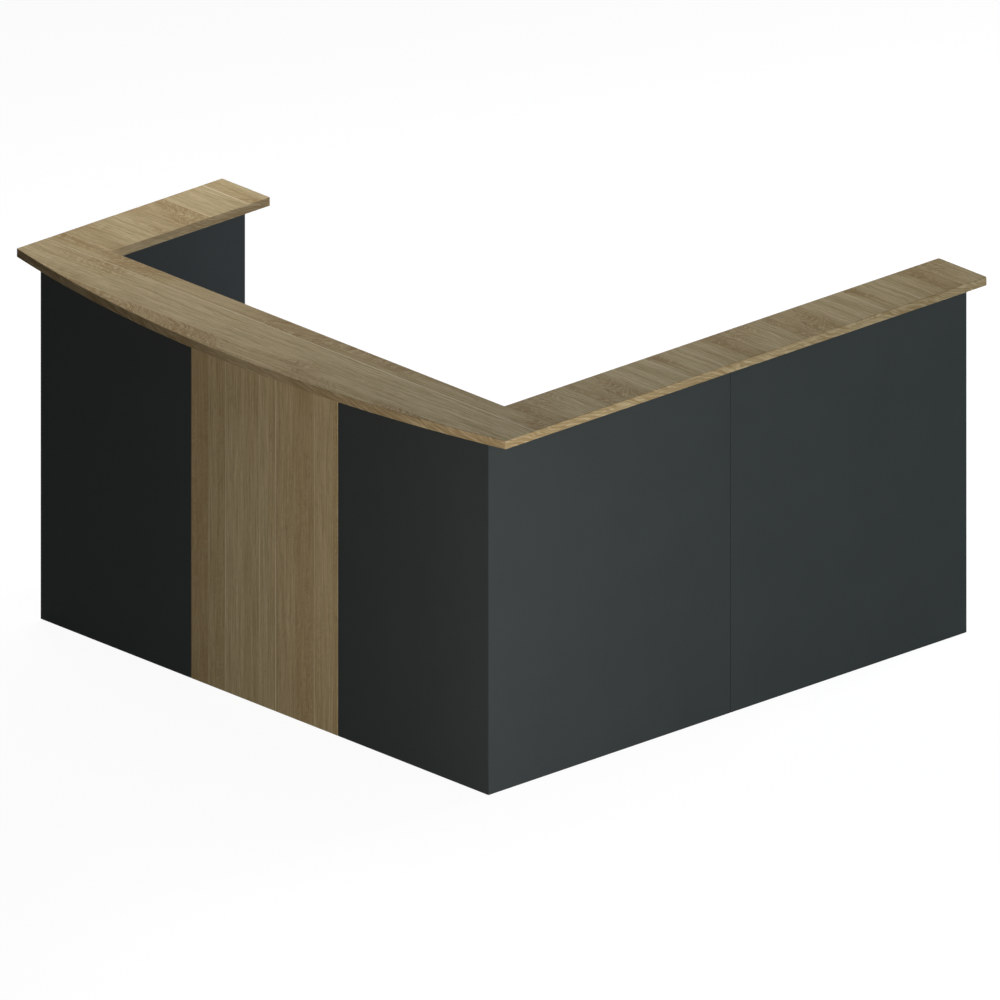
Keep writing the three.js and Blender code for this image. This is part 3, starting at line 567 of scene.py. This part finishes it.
# Cable grommets: a liner pushed into a hole of the worktop and a turning cap with a cable slot,
# both moulded in black polypropylene. The cap lies on a ledge inside the liner, flush with its
# flange. Heights are from the worktop's face.
bore, tube, flange, ledge = 0.0275, 0.030, 0.034, 0.0255
tube_low, flange_low, flange_top = -0.022, 0.0003, 0.0022
ledge_top, ledge_low, ledge_foot = -0.0007, -0.0027, -0.0047
liner = outline([
    (bore, tube_low), (tube, tube_low), (tube, flange_low), (flange, flange_low),
    (flange, flange_top), (bore, flange_top), (bore, ledge_top), (ledge, ledge_top),
    (ledge, ledge_low), (bore, ledge_foot), (bore, tube_low)])
bpy.ops.mesh.select_all(action="SELECT")
bpy.ops.mesh.spin(steps=96, angle=2 * math.pi, center=(0, 0, 0), axis=(0, 0, 1))
bpy.ops.mesh.select_all(action="SELECT")
bpy.ops.mesh.remove_doubles(threshold=touch)
bpy.ops.mesh.normals_make_consistent(inside=False)
bpy.ops.object.mode_set(mode="OBJECT")
apply_modifier(liner, "BEVEL", width=0.0005, segments=3, angle_limit=math.radians(40))
shade(liner, moulded)

# Cap: a disc with a sunk middle, and a round slot that runs out through its rim.
cap_low, cap_clearance, cap_rim, cap_step, cap_sunk = -0.0004, 0.0003, 0.0022, 0.0006, 0.0005
slot_radius, slot_centre, slot_through, slot_run = 0.009, 0.019, 0.01, 0.02
cap = cylinder(96, bore - cap_clearance, cap_low, flange_top)
pick("FACE", lambda middle: middle.z > flange_top - touch)
bpy.ops.mesh.inset(thickness=cap_rim)
bpy.ops.mesh.inset(thickness=cap_step, depth=-cap_sunk)
bpy.ops.object.mode_set(mode="OBJECT")
cutter = cylinder(48, slot_radius, -slot_through, slot_through)
bpy.ops.mesh.select_all(action="SELECT")
bpy.ops.transform.translate(value=(0, slot_centre, 0))
pick("VERT", lambda middle: middle.y > slot_centre + touch)
bpy.ops.transform.translate(value=(0, slot_run, 0))
bpy.ops.object.mode_set(mode="OBJECT")
apply_modifier(cap, "BOOLEAN", operation="DIFFERENCE", object=cutter)
bpy.data.objects.remove(cutter)
apply_modifier(cap, "BEVEL", width=0.0004, segments=2, angle_limit=math.radians(50))
shade(cap, moulded)
for hole in ("front", "return"):
    low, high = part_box("grommet_liner_" + hole)
    spot = Vector(((low.x + high.x) / 2, (low.y + high.y) / 2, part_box("worktop_" + hole)[1].z))
    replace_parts(place_copy(liner, "cable_liner_" + hole, "desk", spot),
                "grommet_liner_" + hole)
    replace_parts(place_copy(cap, "cable_cap_" + hole, "cap_" + hole, spot),
                "grommet_cap_" + hole)
bpy.data.objects.remove(liner)
bpy.data.objects.remove(cap)


# Studio: a floor and a surround that the camera, and what mirrors or lets light through, see as
# white. To the lamps the floor is a plain grey, which gives it a faint shadow of the desk.
def shown_white(tree):
    """One for a ray from the camera or from gloss or glass, otherwise nought."""
    ray = add_node(tree, "ShaderNodeLightPath").outputs
    direct = add_node(tree, "ShaderNodeMath", {
        0: ray["Is Camera Ray"], 1: ray["Is Glossy Ray"]}, operation="MAXIMUM")
    return add_node(tree, "ShaderNodeMath", {
        0: direct.outputs[0], 1: ray["Is Transmission Ray"]}, operation="MAXIMUM").outputs[0]


floor_size, white_share, white_strength = 60.0, 0.7, 1.34
bpy.ops.object.select_all(action="DESELECT")
bpy.ops.mesh.primitive_plane_add(size=floor_size, location=(0, 0, 0))
floor = bpy.context.object
floor.name = "floor"
white, tree, output = new_finish("white_floor")
whitened = add_node(tree, "ShaderNodeMath", {
    0: shown_white(tree), 1: white_share}, operation="MULTIPLY")
paint = add_node(tree, "ShaderNodeBsdfDiffuse", {"Color": linear("#a8a8a8")})
glow = add_node(tree, "ShaderNodeEmission", {
    "Color": linear("#ffffff"), "Strength": white_strength})
ground = add_node(tree, "ShaderNodeMixShader", {
    0: whitened.outputs[0], 1: paint.outputs[0], 2: glow.outputs[0]})
tree.links.new(ground.outputs[0], output.inputs["Surface"])
floor.data.materials.append(white)

world = bpy.data.worlds.new("studio")
bpy.context.scene.world = world
world.use_nodes = True
tree = world.node_tree
tree.nodes.clear()
soft = add_node(tree, "ShaderNodeBackground", {"Color": linear("#ffffff"), "Strength": 0.02})
backdrop = add_node(tree, "ShaderNodeBackground", {"Color": linear("#ffffff"), "Strength": 1.0})
room = add_node(tree, "ShaderNodeMixShader", {
    0: shown_white(tree), 1: soft.outputs[0], 2: backdrop.outputs[0]})
tree.links.new(room.outputs[0], add_node(tree, "ShaderNodeOutputWorld").inputs["Surface"])


# Lamps: square softboxes, each with its place, the point it is turned to, its side in metres, its
# watts and its tint: cool on the right wall, neutral on the near corner, cold inside from low
# behind, and warm on the counter from the left and the back.
neutral, cool = (1.015, 1.0, 0.97), (0.83, 1.0, 1.06)
cold, warm = (0.90, 1.0, 1.12), (1.03, 1.0, 0.97)
for name, spot, aim, side, watts, tint in (
        ("right_front_high", (4.5, -1.3, 2.6), (0.5, 0.0, 0.6), 2.5, 23, cool),
        ("right_low", (5.0, 0.7, 0.4), (0.9, 0.3, 0.4), 1.4, 45, cool),
        ("near_corner_low", (3.0, -2.2, 0.5), (0.9, -0.8, 0.5), 1.2, 57, neutral),
        ("over_left", (-2.4, 0.4, 3.2), (-0.8, -0.4, 1.0), 2.0, 42, warm),
        ("left_end", (-1.6, 1.8, 2.6), (-0.9, -0.2, 1.0), 1.2, 25, warm),
        ("back", (0.0, 5.5, 3.0), (0.0, 0.0, 1.0), 2.5, 47, warm),
        ("back_low", (0.8, 4.5, 0.9), (-0.9, -0.3, 0.8), 1.4, 270, cold)):
    lamp = bpy.data.lights.new(name, "AREA")
    lamp.size = side
    lamp.energy = watts
    lamp.color = tint
    softbox = bpy.data.objects.new(name, lamp)
    facing = (Vector(aim) - Vector(spot)).to_track_quat("-Z", "Y").to_matrix().to_4x4()
    softbox.matrix_world = Matrix.Translation(spot) @ facing
    bpy.context.scene.collection.objects.link(softbox)


# Camera: a view without perspective from the front right, 21.5 degrees up. The walls' front right
# bottom corner is at pixel 488.45, 795.2 of the photograph's 1000, at 0.3556 px per millimetre.
azimuth, elevation = math.radians(47.071), math.radians(21.505)
picture, corner_across, corner_down, pixels_per_metre, distance = 1000, 488.45, 795.2, 355.6, 9
right = Vector((math.cos(azimuth), math.sin(azimuth), 0))
back = Vector((math.sin(azimuth) * math.cos(elevation), -math.cos(azimuth) * math.cos(elevation),
               math.sin(elevation)))
up = back.cross(right)
low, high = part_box("right_side_panel_front")
corner = Vector((high.x, front_face, low.z))
picture_middle = (corner + right * (picture / 2 - corner_across) / pixels_per_metre
                  + up * (corner_down - picture / 2) / pixels_per_metre)
camera_data = bpy.data.cameras.new("camera")
camera_data.type = "ORTHO"
camera_data.ortho_scale = picture / pixels_per_metre
camera_data.clip_end = 100
camera = bpy.data.objects.new("camera", camera_data)
camera.matrix_world = (Matrix.Translation(picture_middle + back * distance)
                       @ Matrix((right, up, back)).transposed().to_4x4())
bpy.context.scene.collection.objects.link(camera)
bpy.context.scene.camera = camera
bpy.context.scene.view_settings.view_transform = "Standard"
